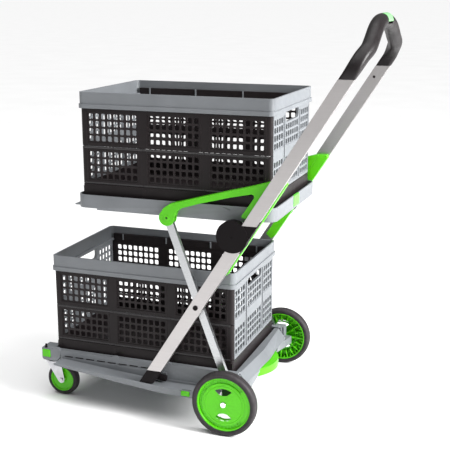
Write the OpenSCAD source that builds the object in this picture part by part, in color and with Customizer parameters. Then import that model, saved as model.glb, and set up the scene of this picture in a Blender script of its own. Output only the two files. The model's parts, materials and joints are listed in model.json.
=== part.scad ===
// Folding two-deck shopping trolley with two collapsible crates.
// X runs from the front castors (-X) to the push handle (+X), Y across, Z up from the floor.
// The left side is -Y, the left hand of the person who pushes.

/* [Crates] */
// Outside length of a crate's rim
crate_len = 530; // [440:5:640]
// Outside width of a crate's rim
crate_wid = 362; // [300:2:436]
// Height of a crate
crate_h = 280; // [230:5:340]
// Height of the grey rim
rim_h = 42; // [30:1:60]
// Height of the solid band round a crate's base
band_h = 40; // [30:1:60]
// Depth of a side panel
panel_t = 9.5; // [7:0.5:14]
// Windows along a side panel
windows = 3; // [2:1:4]
// Holes along a window
window_cols = 8; // [4:1:8]
// Rows of holes in a window
window_rows = 2; // [1:1:4]
// Depth to which a crate sits in its tray
sink = 12; // [6:1:18]

/* [Lower platform] */
// Height of the tray floor that carries the lower crate
floor_z = 126; // [118:1:150]
// Thickness of the tray floors and walls
tray_t = 4; // [3:0.5:6]
// Clearance between a crate's base and its tray
tray_gap = 1.5; // [0.5:0.5:4]
// Width of the side rail's top flange
rail_w = 15; // [12:1:20]

/* [Wheels] */
// Radius of a rear wheel
wheel_r = 86; // [75:1:104]
// Width of a rear tyre
tyre_w = 29; // [22:1:36]
// Height of a rear tyre's section
tyre_h = 14; // [10:1:20]
// Radius of the rear axle
axle_r = 6; // [4:0.5:8]
// Radius of a castor wheel
castor_r = 46; // [38:1:50]
// Width of a castor wheel
castor_w = 26; // [20:1:30]
// Distance from the swivel axis to the castor's axle
castor_trail = 24; // [18:1:30]
// Radius of the castor's stem
stem_r = 6; // [4:0.5:8]

/* [Folding frame] */
// Angle of the bars above the floor when erect
bar_angle = 57.7; // [50:0.1:62]
// Slope of the side tracks
track_angle = 5.88; // [4:0.01:7]
// Distance from the scissor bolt to the axle and to the foot pin
scissor_r = 252.8; // [235:0.1:275]
// Length of a strut between the axle and the upper deck's pivot
strut_len = 492.9; // [480:0.1:520]
// Width of an aluminium bar
bar_w = 33; // [26:1:38]
// Thickness of an aluminium bar
bar_t = 18; // [14:1:20]
// Wall of the bars
bar_wall = 2; // [1.5:0.5:3]
// Width of a strut
strut_w = 20; // [16:1:24]
// Thickness of a strut
strut_t = 12; // [9:0.5:13]
// Radius of the scissor bolts
bolt_r = 4; // [3:0.5:5]
// Radius of the upper deck's pivot rod
rod_r = 5; // [3:0.5:6]
// Radial clearance of a running shaft
run_gap = 0.05; // [0.02:0.01:0.1]

/* [Handle] */
// Height of the handle joint above the floor
joint_z = 518; // [500:1:540]
// Distance of the joint in front of the bar's middle line
joint_off = 21.3; // [18:0.1:24]
// Radius of the round joint housing
joint_r = 41; // [36:1:46]
// Length of joint sleeve above and below the joint
sleeve_h = 42; // [34:1:50]
// Height at which the grip meets the handle bars
grip_z = 910; // [880:5:960]
// Rise of the grip's arch above the bars
arch_h = 126; // [110:1:150]
// Half width of the grip's section
grip_a = 19; // [15:1:22]
// Half height of the grip's section
grip_b = 18; // [14:1:20]

/* [Upper deck] */
// Height of the upper deck's side wall
deck_h = 35; // [28:1:45]
// Distance that the upper crate stands behind the lower one
deck_shift = 99; // [80:1:110]
// Radius of the green pivot boss
boss_r = 21; // [18:1:26]

/* [Buttons] */
// Travel of the push buttons
press = 3; // [2:0.5:4]
// Travel of the handle button
handle_press = 5; // [3:0.5:6]

/* [Hidden] */
$fn = 64;

green = "limegreen";
grey = "slategray";
light = "lightsteelblue";
black = "#231f20";
alu = "gainsboro";

// Space between pieces that move past each other, and the smallest gap across a joint
play = 0.5;
// The crates' base and side panels stand in from the rim by this much
inset = 4;
crate_y = crate_wid / 2;
panel_y = crate_y - inset;
flange = 2.5;
rim_t = 5;
rail_y = panel_y + tray_gap + rail_w;
floor_top = floor_z;
rim_low = crate_h - rim_h;
panel_h = (rim_low - band_h) / 2;
corner_r = 10;

// Layers across the width, from the middle outwards
strut_y = rail_y + 7;
bar_y = strut_y + strut_t + 4.5;
bar_out = bar_y + bar_t;
ledge_y = bar_out + 5;
wheel_y = ledge_y + 7;
half_wid = wheel_y + tyre_w;

// Pivots in the side view
axle = [crate_len + 2, wheel_r];
base_angle = bar_angle + track_angle;
foot_pivot = axle + 2 * scissor_r * cos(base_angle) * [-cos(track_angle), sin(track_angle)];
scissor = foot_pivot + scissor_r * [cos(bar_angle), sin(bar_angle)];
strut_dir = (scissor - axle) / scissor_r;
deck_pivot = axle + strut_len * strut_dir;
function bar_x(z) = foot_pivot[0] + (z - foot_pivot[1]) / tan(bar_angle);
joint = [bar_x(joint_z - joint_off * cos(bar_angle)) - joint_off * sin(bar_angle), joint_z];
bar_half = bar_w / 2 / sin(bar_angle);
foot_low = foot_pivot[1] - 12;
foot_top = foot_pivot[1] + 25.5;

// Upper deck
deck_floor = deck_pivot[1] + 26.3;
deck_top = deck_floor + sink + 1;
deck_low = deck_top - deck_h;
deck_x0 = deck_shift - 6;
deck_x1 = deck_shift + crate_len + 10;

// Castors
castor_x = -6;
castor_y = panel_y - 5;
fork_t = 2.5;
fork_y = castor_w / 2 + 1.5;
fork_top = 2 * castor_r + 8;
housing_low = fork_top + 4;

// The middle of the trolley's length, which stands over the origin
front_x = castor_x - 32;
arch_x = bar_x(grip_z) + 38;
datum_x = (front_x + arch_x + grip_a) / 2;

module placed() {
    translate([-datum_x, 0, 0]) children();
}

// Side s is 1 on the right (+Y) and -1 on the left, where the piece is mirrored
module side(s) {
    placed() mirror([0, s > 0 ? 0 : 1, 0]) children();
}

module pair() {
    side(1) children();
    side(-1) children();
}

// Plate from an outline in the side view, between two distances from the middle
module plate(y0, y1) {
    translate([0, y1, 0]) rotate([90, 0, 0]) linear_extrude(y1 - y0) children();
}

module cross_pin(at, y0, y1, r) {
    translate([at[0], y0, at[1]]) rotate([-90, 0, 0]) cylinder(h = y1 - y0, r = r);
}

module block(x0, x1, y0, y1, z0, z1) {
    translate([x0, y0, z0]) cube([x1 - x0, y1 - y0, z1 - z0]);
}

module rounded(x0, x1, half, r) {
    translate([x0 + r, -half]) square([x1 - x0 - 2 * r, 2 * half]);
    translate([x0, r - half]) square([x1 - x0, 2 * (half - r)]);
    for (x = [x0 + r, x1 - r], y = [r - half, half - r]) translate([x, y]) circle(r);
}

// ---------- crates ----------

module at_lower() {
    placed() translate([0, 0, floor_top]) children();
}

module at_upper() {
    placed() translate([deck_shift, 0, deck_floor]) children();
}

module crate_base() {
    difference() {
        linear_extrude(band_h) rounded(inset, crate_len - inset, panel_y, corner_r);
        translate([0, 0, 4]) linear_extrude(band_h)
            rounded(inset + 4, crate_len - inset - 4, panel_y - 4, corner_r - 4);
    }
}

flap_t = 7;
hinge_r = 3.8;
hinge_z = rim_low - hinge_r - 0.4;
hinge_x = inset + 4;
ear_y = [100, 106];

// Ears under the rim carry the pins of the end flap
module flap_ears() {
    for (m = [0, 1]) mirror([0, m, 0]) difference() {
        union() {
            cross_pin([hinge_x, hinge_z], ear_y[0], ear_y[1], hinge_r);
            block(hinge_x - hinge_r, hinge_x + hinge_r, ear_y[0], ear_y[1], hinge_z, rim_low + 0.5);
        }
        cross_pin([hinge_x, hinge_z], ear_y[0] - 1, ear_y[1] + 1, 2);
    }
}

module crate_rim() {
    translate([0, 0, rim_low]) difference() {
        union() {
            linear_extrude(rim_h) rounded(0, crate_len, crate_y, 14);
            linear_extrude(11) rounded(-flange, crate_len + flange, crate_y + flange, 16);
        }
        translate([0, 0, 6]) linear_extrude(rim_h)
            rounded(rim_t, crate_len - rim_t, crate_y - rim_t, 9);
        translate([0, 0, -1]) linear_extrude(rim_h)
            rounded(2 * rim_t + inset, crate_len - 2 * rim_t - inset, crate_y - 2 * rim_t - inset, 4);
    }
    flap_ears();
    translate([crate_len, 0, 0]) mirror([1, 0, 0]) flap_ears();
}

post_w = 20;
pillar_w = 30;
window_w = (crate_len - 2 * (inset + post_w) - (windows - 1) * pillar_w) / windows;
window_frame = 12;
lattice = 5;
lattice_t = 3;

module window_holes(w, h) {
    cell = [w / window_cols, h / window_rows];
    for (i = [0:window_cols - 1], j = [0:window_rows - 1])
        translate([i * cell[0] + lattice / 2, j * cell[1] + lattice / 2])
            square([cell[0] - lattice, cell[1] - lattice]);
}

// Side panel with windows, recessed on both faces down to a lattice
module side_panel(z0) {
    win_h = panel_h - 2 * window_frame;
    skin = (panel_t - lattice_t) / 2;
    difference() {
        translate([0, 0, z0]) intersection() {
            linear_extrude(panel_h) rounded(inset, crate_len - inset, panel_y, corner_r);
            block(inset, crate_len - inset, panel_y - panel_t, panel_y, 0, panel_h);
        }
        for (k = [0:windows - 1])
            translate([inset + post_w + k * (window_w + pillar_w), 0, z0 + window_frame]) {
                block(0, window_w, panel_y - skin, panel_y + 1, 0, win_h);
                block(0, window_w, panel_y - panel_t - 1, panel_y - panel_t + skin, 0, win_h);
                plate(panel_y - panel_t, panel_y) window_holes(window_w, win_h);
            }
    }
}

module side_panels(z0) {
    side_panel(z0);
    mirror([0, 1, 0]) side_panel(z0);
}

flap_y = panel_y - panel_t - 0.7;
grip_notch = [120, 28];
groove_w = 8;
groove_y = 71;
cell_w = 20;

module flap_holes(columns, z0, z1, rows) {
    cell_h = (z1 - z0) / rows;
    for (s = [-1, 1], c = columns, r = [0:rows - 1])
        translate([s * c - (cell_w - lattice) / 2, z0 + r * cell_h])
            square([cell_w - lattice, cell_h - lattice]);
}

// End flap that hangs from the rim; its outer face looks to -X
module end_flap() {
    low = band_h + 1;
    mid = (low + hinge_z) / 2;
    inner_columns = [for (c = [0:2]) (c + 0.5) * cell_w];
    outer_columns = [for (c = [0:3]) groove_y + cell_w * (c + 1)];
    difference() {
        union() {
            block(inset, inset + flap_t, -flap_y, flap_y, low, hinge_z);
            cross_pin([hinge_x, hinge_z], -flap_y, flap_y, hinge_r);
        }
        for (m = [0, 1]) mirror([0, m, 0])
            block(0, 2 * hinge_x, ear_y[0] - play, ear_y[1] + play, hinge_z - 6, crate_h);
        rotate([90, 0, 90]) linear_extrude(2 * hinge_x) {
            flap_holes(concat(inner_columns, outer_columns), low + 8, mid - 15, 4);
            flap_holes(inner_columns, mid + 12, rim_low - grip_notch[1], 3);
            flap_holes(outer_columns, mid + 12, hinge_z - 5, 4);
            translate([-grip_notch[0] / 2, rim_low - grip_notch[1]])
                square([grip_notch[0], grip_notch[1] + 2]);
        }
        for (g = [-1, 1])
            block(0, inset + 2.5, g * groove_y - groove_w / 2, g * groove_y + groove_w / 2,
                low - 1, hinge_z - 6);
    }
    for (m = [0, 1]) mirror([0, m, 0])
        cross_pin([hinge_x, hinge_z], ear_y[0] - play - 2, ear_y[1] + play + 2, 2 - run_gap);
}

module rear_flap() {
    translate([crate_len, 0, 0]) mirror([1, 0, 0]) end_flap();
}

module lower_crate_base() { color(black) at_lower() crate_base(); }
module lower_crate_rim() { color(grey) at_lower() crate_rim(); }
module lower_crate_lower_sides() { color(black) at_lower() side_panels(band_h); }
module lower_crate_upper_sides() { color(black) at_lower() side_panels(band_h + panel_h); }
module lower_crate_flap_front() { color(light) at_lower() end_flap(); }
module lower_crate_flap_rear() { color(light) at_lower() rear_flap(); }
module upper_crate_base() { color(black) at_upper() crate_base(); }
module upper_crate_rim() { color(grey) at_upper() crate_rim(); }
module upper_crate_lower_sides() { color(black) at_upper() side_panels(band_h); }
module upper_crate_upper_sides() { color(black) at_upper() side_panels(band_h + panel_h); }
module upper_crate_flap_front() { color(light) at_upper() end_flap(); }
module upper_crate_flap_rear() { color(light) at_upper() rear_flap(); }

// ---------- lower platform ----------

rail_top = floor_top + sink - 1;
rail_low = rail_top - 20;
house_x = [castor_x - 32, castor_x + 28];
house_y = [castor_y - 26, rail_y + 2.5];
rail_step_x = foot_pivot[0] + 36;
deck_rear = crate_len + 15;
lug_r = 14;
lug_x = [192, 345];

// Skirt behind the crate that slopes out and bows to the rear
module rear_skirt() {
    bow = 10;
    half = panel_y;
    hull() {
        for (y = [-half, 0, half], s = [0, 1]) {
            back = s == 0 ? crate_len + 14 : crate_len + 34;
            high = s == 0 ? rail_top - 2 : floor_top - 16;
            translate([crate_len + 2, y - 1, high]) cube([back - crate_len - 2 + (y == 0 ? bow : 0), 2, 2]);
        }
        block(crate_len + 2, crate_len + 34, -half, half, floor_top - 24, floor_top - 22);
    }
}

// Sloping cross arms that carry the axle ends
module axle_arms() {
    for (m = [0, 1]) mirror([0, m, 0]) {
        translate([axle[0] + 16, 0, 0]) rotate([90, 0, 90]) linear_extrude(18)
            polygon([[60, floor_top - 23], [60, floor_top - 7], [ledge_y + 3, axle[1] + 8],
                [ledge_y + 3, axle[1] - 16]]);
        block(axle[0] - 14, axle[0] + 17, bar_y, ledge_y + 4, axle[1] - 14, axle[1] + 42);
        block(axle[0] - 17, axle[0] + 17, rail_y - 7, rail_y, axle[1] - 12, rail_top);
    }
}

module lug(x, top) {
    intersection() {
        plate(rail_y - 5, rail_y) translate([x, top - lug_r + 6]) circle(lug_r);
        block(x - 20, x + 20, rail_y - 5, rail_y, top - 4, top + 7);
    }
}

module lower_deck() {
    color(grey) placed() difference() {
        union() {
            block(-6, deck_rear, -rail_y, rail_y, floor_top - tray_t, floor_top);
            block(-6, -2.5, -rail_y, rail_y, rail_low, rail_top - 4);
            for (m = [0, 1]) mirror([0, m, 0]) {
                block(0, rail_step_x, rail_y - 3.5, rail_y, rail_low - 5, rail_top);
                block(0, rail_step_x, rail_y - rail_w, rail_y, rail_top - 3.5, rail_top);
                block(rail_step_x - 1, deck_rear, rail_y - 3.5, rail_y, rail_low - 22, rail_top + 4);
                block(rail_step_x - 1, deck_rear, rail_y - rail_w, rail_y, rail_top + 0.5, rail_top + 4);
                lug(lug_x[0], rail_top);
                lug(lug_x[1], rail_top + 4);
            }
            rear_skirt();
            axle_arms();
        }
        for (m = [0, 1]) mirror([0, m, 0]) {
            block(-40, house_x[1] + 0.1, house_y[0] - 0.1, rail_y + 1, 0, rail_top + 20);
            block(front_x, crate_len + 1, 0, panel_y + tray_gap, floor_top, rail_top + 20);
        }
        cross_pin(axle, -half_wid, half_wid, axle_r + run_gap);
        cross_pin(pedal_hinge, -pedal_y - 14, pedal_y + 14, shaft_r);
        block(pedal_hinge[0] - 9, crate_len + 80, -pedal_y - 2, pedal_y + 2, 0, pedal_hinge[1] + 9);
    }
}

// Side track: a floor that slopes with an outer lip, and a web against the rail
track_front = house_x[1] + 4;
track_rear = axle[0] - 30;
function track_z(x) = max(foot_low - 2.6 - 0.0735 * (x - foot_pivot[0]), foot_low - 5);

module track(s) {
    z0 = track_z(track_front);
    z1 = track_z(track_rear);
    knee = foot_pivot[0] + 35;
    color(grey) side(s) difference() {
        union() {
            plate(rail_y + 3, ledge_y - 4) polygon([[track_front, z0], [knee, z1], [track_rear, z1],
                [track_rear, z1 - 4], [knee, z1 - 4], [track_front, z0 - 4]]);
            plate(ledge_y - 4, ledge_y) polygon([[track_front, z0 + 2], [knee, z1 + 2],
                [track_rear - 10, z1 + 2], [track_rear, z1 - 6], [track_rear - 10, z1 - 17],
                [knee + 10, z1 - 16], [foot_pivot[0] - 82, z1 - 4], [track_front, z0 - 4]]);
            plate(rail_y, rail_y + 3) polygon([[track_front, max(rail_low, z0 + 4)],
                [rail_step_x, max(rail_low, z1 + 4)],
                [rail_step_x, z1 + 6], [track_rear, z1 + 6], [track_rear, z1 - 8], [knee, z1 - 8],
                [track_front, z0 - 4]]);
        }
        block(side_btn[0] - play, side_btn[1] + play, ledge_y - 10, ledge_y + 1,
            side_btn_z[0] - play, side_btn_z[1] + play);
        block(side_btn[0] - 2, side_btn[1] + 2, ledge_y - 12, ledge_y - 4, z1 - 8, z1 + 4);
    }
}

side_btn = [axle[0] - 129, axle[0] - 105];
side_btn_z = [foot_low - 18.5, foot_low - 4.5];

module side_button(s) {
    color(green) side(s) block(side_btn[0], side_btn[1], ledge_y - 6, ledge_y + 2.5,
        side_btn_z[0], side_btn_z[1]);
}

module track_left() { track(-1); }
module track_right() { track(1); }
module side_button_left() { side_button(-1); }
module side_button_right() { side_button(1); }

corner_btn = [castor_x - 27, castor_x - 2.5];
corner_btn_z = [rail_top - 24, rail_top - 2];

module castor_housing(s) {
    color(grey) side(s) difference() {
        union() {
            intersection() {
                translate([0, 0, housing_low]) linear_extrude(rail_top - housing_low) {
                    translate([house_x[0], house_y[0]])
                        square([house_x[1] - house_x[0], house_y[1] - house_y[0] - 8]);
                    translate([house_x[0] + 8, house_y[1] - 9])
                        square([house_x[1] - house_x[0] - 8, 9]);
                    translate([house_x[0] + 8, house_y[1] - 8]) circle(8);
                }
                plate(house_y[0], house_y[1]) polygon([[house_x[0], housing_low + 6],
                    [house_x[0] + 8, housing_low], [house_x[1] - 12, housing_low],
                    [house_x[1], housing_low + 14], [house_x[1], rail_top], [house_x[0], rail_top]]);
            }
            intersection() {
                plate(house_y[1] - 10, house_y[1]) translate([10, rail_top - 8]) circle(lug_r);
                block(-5, house_x[1], 0, house_y[1], rail_top - 2, rail_top + 6);
            }
        }
        block(-2, 40, 0, panel_y + tray_gap, floor_top, rail_top + 20);
        block(corner_btn[0] - play, corner_btn[1] + play, house_y[1] - 9, house_y[1] + 1,
            corner_btn_z[0] - play, corner_btn_z[1] + play);
        translate([castor_x, castor_y, housing_low - 1]) cylinder(h = 24, r = stem_r + run_gap);
    }
}

module castor_housing_left() { castor_housing(-1); }
module castor_housing_right() { castor_housing(1); }

module corner_button(s) {
    color(green) side(s) block(corner_btn[0], corner_btn[1], house_y[1] - 5.5, house_y[1] + 2.5,
        corner_btn_z[0], corner_btn_z[1]);
}

module corner_button_left() { corner_button(-1); }
module corner_button_right() { corner_button(1); }

// Small black pegs that stop the crate at the front corners
module crate_stops() {
    color(black) pair() translate([front_x + 12, house_y[1] - 9, rail_top]) {
        cylinder(h = 11, r1 = 4, r2 = 2.6);
    }
}

// ---------- wheels and castors ----------

cap_r = 7.5;
hub_r = 14;
disc_r = wheel_r - tyre_h;

module rear_axle() {
    color("silver") placed() cross_pin(axle, -(half_wid - 6), half_wid - 6, axle_r);
}

module axle_caps() {
    color("silver") pair() cross_pin(axle, half_wid - 6, half_wid - 1, cap_r);
}

// Ring sector between two radii, open by half_angle each way from dir
module fan(r0, r1, dir, half_angle) {
    far = r1 * 1.3;
    intersection() {
        difference() {
            circle(r1);
            circle(r0);
        }
        polygon([[0, 0], far * [cos(dir - half_angle), sin(dir - half_angle)],
            far * [cos(dir + half_angle), sin(dir + half_angle)]]);
    }
}

// Rim drawn with its outer face up, from z = 0 at the inner edge
module wheel_rim_body() {
    face = tyre_w - 7;
    difference() {
        union() {
            difference() {
                cylinder(h = tyre_w - 1, r = disc_r);
                translate([0, 0, -1]) cylinder(h = tyre_w + 1, r = disc_r - 4);
            }
            translate([0, 0, face]) cylinder(h = 3, r = disc_r - 1);
            translate([0, 0, face + 1]) cylinder(h = 3.5, r = disc_r - 14);
            cylinder(h = face + 1, r = hub_r);
            translate([0, 0, face - 9]) linear_extrude(10) difference() {
                circle(disc_r * 0.6 + 1);
                circle(disc_r * 0.6 - 1);
            }
            for (k = [0:4]) rotate(72 * k + 30)
                translate([hub_r - 2, -1, 3]) cube([disc_r - hub_r, 2, face - 2]);
            for (k = [0:23]) rotate(15 * k)
                translate([disc_r - 11, -0.8, face - 12]) cube([9, 1.6, 13]);
        }
        translate([0, 0, -1]) cylinder(h = tyre_w + 2, r = axle_r + run_gap);
        translate([0, 0, tyre_w - 6.5]) cylinder(h = 10, r = cap_r + 0.3);
        for (dir = [90, 270]) translate([0, 0, face - 0.5]) linear_extrude(12) fan(26, 43, dir, 26);
    }
}

module wheel_rim(s) {
    color(green) side(s) translate([axle[0], wheel_y, axle[1]]) rotate([-90, 0, 0]) wheel_rim_body();
}

module tyre_ring(r_in, r_out, w, edge) {
    rotate_extrude() polygon([[r_in, 0], [r_out - edge, 0], [r_out - edge / 3, edge / 3], [r_out, edge],
        [r_out, w - edge], [r_out - edge / 3, w - edge / 3], [r_out - edge, w], [r_in, w]]);
}

module wheel_tyre(s) {
    color("dimgray") side(s) translate([axle[0], wheel_y, axle[1]]) rotate([-90, 0, 0])
        tyre_ring(disc_r, wheel_r, tyre_w, 6);
}

module wheel_rim_left() { wheel_rim(-1); }
module wheel_rim_right() { wheel_rim(1); }
module wheel_tyre_left() { wheel_tyre(-1); }
module wheel_tyre_right() { wheel_tyre(1); }

castor_axle = [castor_x + castor_trail, castor_r];
castor_bolt_r = 4;

module castor_fork(s) {
    color("silver") side(s) {
        translate([castor_x, castor_y, fork_top - 4]) cylinder(h = 4, r = 22);
        translate([castor_x, castor_y, fork_top]) cylinder(h = 3.6, r = 17);
        translate([castor_x, castor_y, fork_top]) cylinder(h = 24, r = stem_r);
        for (m = [0, 1]) translate([0, castor_y, 0]) mirror([0, m, 0]) {
            plate(fork_y, fork_y + fork_t) {
                polygon([[castor_x - 22, fork_top], [castor_x + 24, fork_top],
                    [castor_axle[0] + 10, castor_r + 3], [castor_axle[0] + 6, castor_r - 7],
                    [castor_axle[0] - 8, castor_r - 6]]);
                translate(castor_axle) circle(9.5);
            }
            block(castor_x - 20, castor_x + 20, 9, fork_y + fork_t, fork_top - 4, fork_top);
            cross_pin(castor_axle, fork_y, fork_y + fork_t + 3, 6);
        }
        cross_pin(castor_axle, castor_y - fork_y, castor_y + fork_y, castor_bolt_r);
    }
}

module castor_rim(s) {
    color(green) side(s) translate([castor_axle[0], castor_y - castor_w / 2 + 1, castor_axle[1]])
        rotate([-90, 0, 0]) difference() {
            cylinder(h = castor_w - 2, r = castor_r - 11);
            translate([0, 0, -1]) cylinder(h = castor_w, r = castor_bolt_r + run_gap);
            for (z = [-1, castor_w - 5]) translate([0, 0, z]) difference() {
                cylinder(h = 4, r = castor_r - 15);
                translate([0, 0, -1]) cylinder(h = 6, r = 10);
            }
        }
}

module castor_tyre(s) {
    color("dimgray") side(s) translate([castor_axle[0], castor_y - castor_w / 2, castor_axle[1]])
        rotate([-90, 0, 0]) tyre_ring(castor_r - 11, castor_r, castor_w, 5);
}

module castor_fork_left() { castor_fork(-1); }
module castor_fork_right() { castor_fork(1); }
module castor_rim_left() { castor_rim(-1); }
module castor_rim_right() { castor_rim(1); }
module castor_tyre_left() { castor_tyre(-1); }
module castor_tyre_right() { castor_tyre(1); }

// ---------- brake ----------

pedal_y = 82;
pedal_hinge = [axle[0] + 26, floor_top - 22];
shaft_r = 3;

module brake_pedal() {
    color(green) placed() difference() {
        union() {
            intersection() {
                translate([pedal_hinge[0] - 78, 0, pedal_hinge[1] - 14]) cylinder(h = 20, r = 112);
                block(pedal_hinge[0] - 7, pedal_hinge[0] + 40, -pedal_y, pedal_y,
                    pedal_hinge[1] - 14, pedal_hinge[1] + 7);
            }
            cross_pin(pedal_hinge, -pedal_y, pedal_y, 7);
        }
        cross_pin(pedal_hinge, -pedal_y - 1, pedal_y + 1, shaft_r + run_gap);
    }
}

module brake_shaft() {
    color("silver") placed() cross_pin(pedal_hinge, -pedal_y - 14, pedal_y + 14, shaft_r);
}

// ---------- folding frame ----------

// Outline of the straight bar in the side view, cut level at two heights
module bar_outline(z0, z1, half) {
    polygon([[bar_x(z0) - half, z0], [bar_x(z0) + half, z0], [bar_x(z1) + half, z1],
        [bar_x(z1) - half, z1]]);
}

module hollow_bar(z0, z1) {
    difference() {
        plate(bar_y, bar_out) bar_outline(z0, z1, bar_half);
        plate(bar_y + bar_wall, bar_out - bar_wall)
            bar_outline(z0 - 5, z1 + 5, bar_half - bar_wall / sin(bar_angle));
    }
}

module strut(s) {
    color("lightgray") side(s) difference() {
        union() {
            translate([axle[0], strut_y, axle[1]]) rotate([0, -atan2(strut_dir[1], strut_dir[0]), 0])
                block(0, strut_len, 0, strut_t, -strut_w / 2, strut_w / 2);
            cross_pin(axle, strut_y, strut_y + strut_t, strut_w / 2 + 2);
            cross_pin(deck_pivot, strut_y, strut_y + strut_t, strut_w / 2 + 1);
        }
        cross_pin(axle, strut_y - 1, strut_y + strut_t + 1, axle_r + run_gap);
        cross_pin(scissor, strut_y - 1, strut_y + strut_t + 1, bolt_r + run_gap);
        cross_pin(deck_pivot, strut_y - 1, strut_y + strut_t + 1, rod_r + run_gap);
    }
}

module strut_left() { strut(-1); }
module strut_right() { strut(1); }

sleeve_low = joint[1] - sleeve_h;
sleeve_top = joint[1] + sleeve_h;

module arm_bar(s) {
    color(alu) side(s) difference() {
        hollow_bar(foot_top, sleeve_low + 12);
        cross_pin(joint, lap_y - 0.3, bar_out + 1, joint_r + play);
        cross_pin(scissor, bar_y - 1, bar_out + 1, bolt_r + run_gap);
    }
}

module arm_bar_left() { arm_bar(-1); }
module arm_bar_right() { arm_bar(1); }

module scissor_bolts() {
    color(black) pair() {
        cross_pin(scissor, strut_y - 4, bar_out + 0.5, bolt_r);
        cross_pin(scissor, bar_out, bar_out + 2.5, 6.5);
        cross_pin(scissor, strut_y - 4, strut_y - 0.4, 7);
        difference() {
            cross_pin(scissor, strut_y + strut_t + 0.4, bar_y, 8);
            cross_pin(scissor, strut_y, bar_y + 1, bolt_r - 1);
        }
    }
}

// Plastic foot that closes the bar's lower end and holds the pin
module foot(s) {
    color(black) side(s) difference() {
        union() {
            plate(bar_y, bar_out) bar_outline(foot_low, foot_top, bar_half);
            plate(bar_y + bar_wall + 0.1, bar_out - bar_wall - 0.1)
                bar_outline(foot_top - 1, foot_top + 20, bar_half - (bar_wall + 0.2) / sin(bar_angle));
        }
        cross_pin(foot_pivot, bar_y - 1, bar_out - 2, bolt_r);
    }
}

module foot_left() { foot(-1); }
module foot_right() { foot(1); }

module foot_pins() {
    color("silver") pair() cross_pin(foot_pivot, strut_y - 1, bar_out - 2, bolt_r);
}

// Blocks that glide along the side tracks
module track_sliders() {
    color(black) pair() difference() {
        translate([foot_pivot[0], strut_y, foot_pivot[1]]) rotate([0, track_angle, 0])
            block(-9, 40, 0, strut_t, -6.5, 6.5);
        cross_pin(foot_pivot, strut_y - 1, bar_y, bolt_r + run_gap);
    }
}

// The joint's two halves lap: the lower disc is inboard, the upper one outboard
lap_y = bar_y + bar_t / 2;
sleeve_t = 1.5;

module sleeve(z0, z1) {
    plate(bar_y, bar_out + sleeve_t) bar_outline(z0, z1, bar_half + sleeve_t);
}

module joint_lower(s) {
    color(black) side(s) difference() {
        union() {
            difference() {
                sleeve(sleeve_low, joint[1] - play);
                cross_pin(joint, lap_y - 0.3, bar_out + 10, joint_r + play);
            }
            cross_pin(joint, bar_y, lap_y - 0.3, joint_r);
        }
        plate(bar_y - 1, bar_out + 10) bar_outline(sleeve_low - 5, sleeve_low + 12, bar_half);
        cross_pin(joint, bar_y - 1, lap_y, bolt_r + run_gap);
    }
}

module joint_upper(s) {
    color(black) side(s) difference() {
        union() {
            difference() {
                sleeve(joint[1] + play, sleeve_top);
                cross_pin(joint, bar_y - 1, lap_y, joint_r + play);
            }
            cross_pin(joint, lap_y, bar_out + 3, joint_r);
            cross_pin(joint, bar_y + 1, lap_y, bolt_r);
        }
        plate(bar_y - 1, bar_out + 10) bar_outline(sleeve_top - 12, sleeve_top + 5, bar_half);
        cross_pin(joint, bar_out + 1.8, bar_out + 5, 3);
    }
}

module joint_lower_left() { joint_lower(-1); }
module joint_lower_right() { joint_lower(1); }
module joint_upper_left() { joint_upper(-1); }
module joint_upper_right() { joint_upper(1); }

// Green bracket along the inner face of the bar, with the peg that the deck arm rests on
green_y = [strut_y - 3.5, bar_y - 0.5];
bracket_low = joint[1] - 113;
bracket_top = joint[1] + 142;
bracket_x = [-7, 22];
peg = [bar_x(joint[1] + 38) - 17, joint[1] + 38];

module bar_bracket(s) {
    color(green) side(s) {
        plate(green_y[0], green_y[1]) polygon([
            [bar_x(bracket_low) + bracket_x[0] + 8, bracket_low + 14],
            [bar_x(bracket_low) + bracket_x[1] - 6, bracket_low],
            [bar_x(bracket_low + 8) + bracket_x[1], bracket_low + 8],
            [bar_x(bracket_top - 8) + bracket_x[1], bracket_top - 8],
            [bar_x(bracket_top) + bracket_x[1] - 9, bracket_top],
            [bar_x(bracket_top) + bracket_x[0], bracket_top],
            [bar_x(bracket_low + 30) + bracket_x[0], bracket_low + 30]]);
        plate(green_y[0], green_y[1]) polygon([[peg[0], peg[1] - 6], [peg[0] + 14, peg[1] - 12],
            [peg[0] + 18, peg[1]], [peg[0] + 12, peg[1] + 6], [peg[0], peg[1] + 6]]);
        cross_pin(peg, green_y[0], green_y[1], 6);
        plate(green_y[1] - 1, bar_y) bar_outline(bracket_low + 30, sleeve_low - 4, 9);
    }
}

module bar_bracket_left() { bar_bracket(-1); }
module bar_bracket_right() { bar_bracket(1); }

// ---------- upper deck ----------

// Point in the side view, given from the deck pivot
function from_pivot(x, z) = deck_pivot + [x, z];

leg_low = peg[1] + 6.4;
arm_top = bracket_top;

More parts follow.
